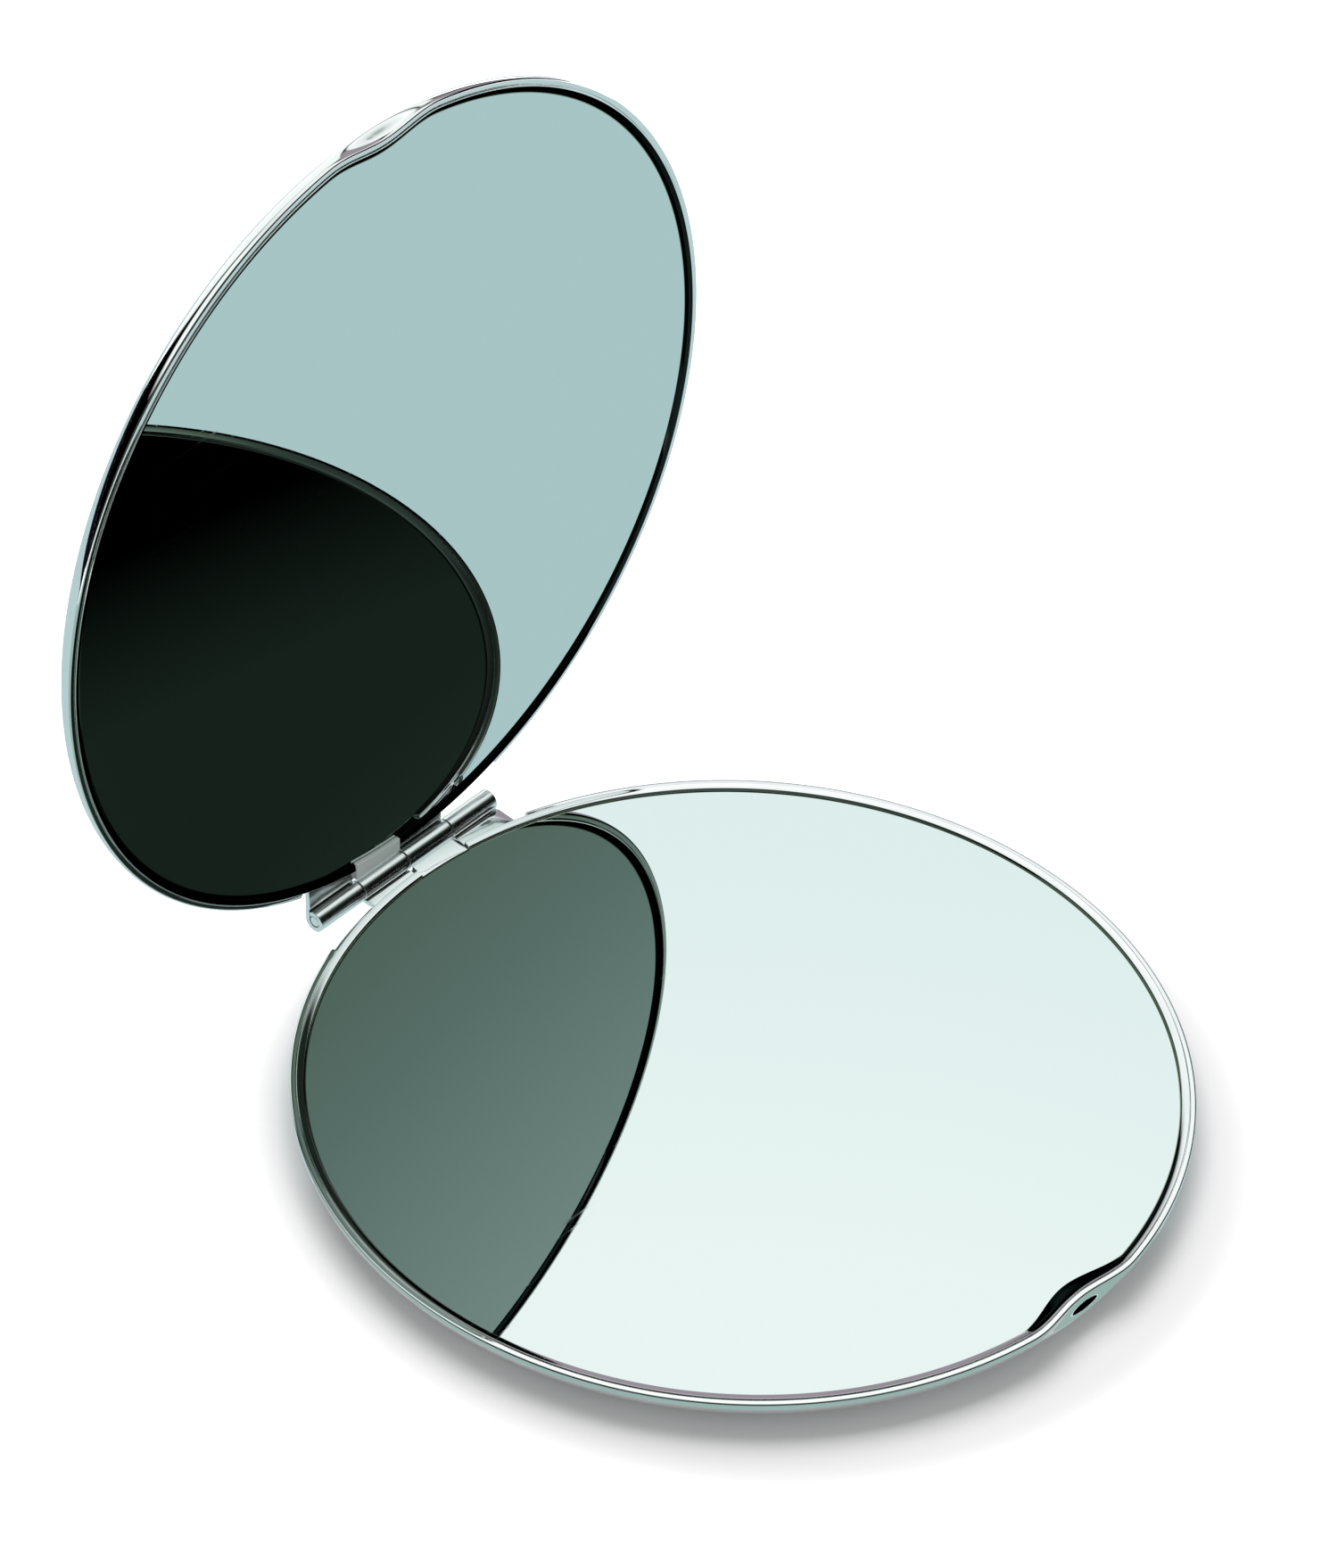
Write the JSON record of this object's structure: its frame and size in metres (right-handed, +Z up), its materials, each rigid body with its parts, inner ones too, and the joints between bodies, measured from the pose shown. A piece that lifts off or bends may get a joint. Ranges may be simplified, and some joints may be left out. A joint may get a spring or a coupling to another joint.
{
  "type": "compact mirror",
  "caption": "Round folding pocket mirror: polished metal case halves on a rolled hinge, each holding a flat mirror, with a thumb scallop in each rim opposite the hinge.",
  "frame": {"origin": "centre of the base's flat underside", "axes": "+Z up out of the base's mirror, +X from the hinge towards the base's thumb scallop, Y along the hinge pin"},
  "size_m": [0.068, 0.062, 0.0656],
  "materials": {
    "case": "polished plated sheet",
    "hinge": "polished plated wire and sheet",
    "mirror": "silvered flat glass with a faint green tint",
    "adhesive": "soft double-sided pad",
    "backing": "matt grey board"
  },
  "bodies": {
    "base": {"base_cover": "case", "base_frame_ring": "case", "base_hinge_leaf": "hinge", "base_mirror": "mirror", "base_mirror_adhesive": "adhesive", "base_backing_disc": "backing", "hinge_pin": "hinge"},
    "lid": {"lid_cover": "case", "lid_frame_ring": "case", "lid_hinge_leaf": "hinge", "lid_mirror": "mirror", "lid_mirror_adhesive": "adhesive", "lid_backing_disc": "backing"}
  },
  "joints": [
    {"name": "lid_hinge", "type": "hinge", "parent": "base", "child": "lid", "pos_m": [-0.03195, 0, 0.003], "axis": [0, -1, 0], "range_deg": [-92.3, 87.7]}
  ]
}
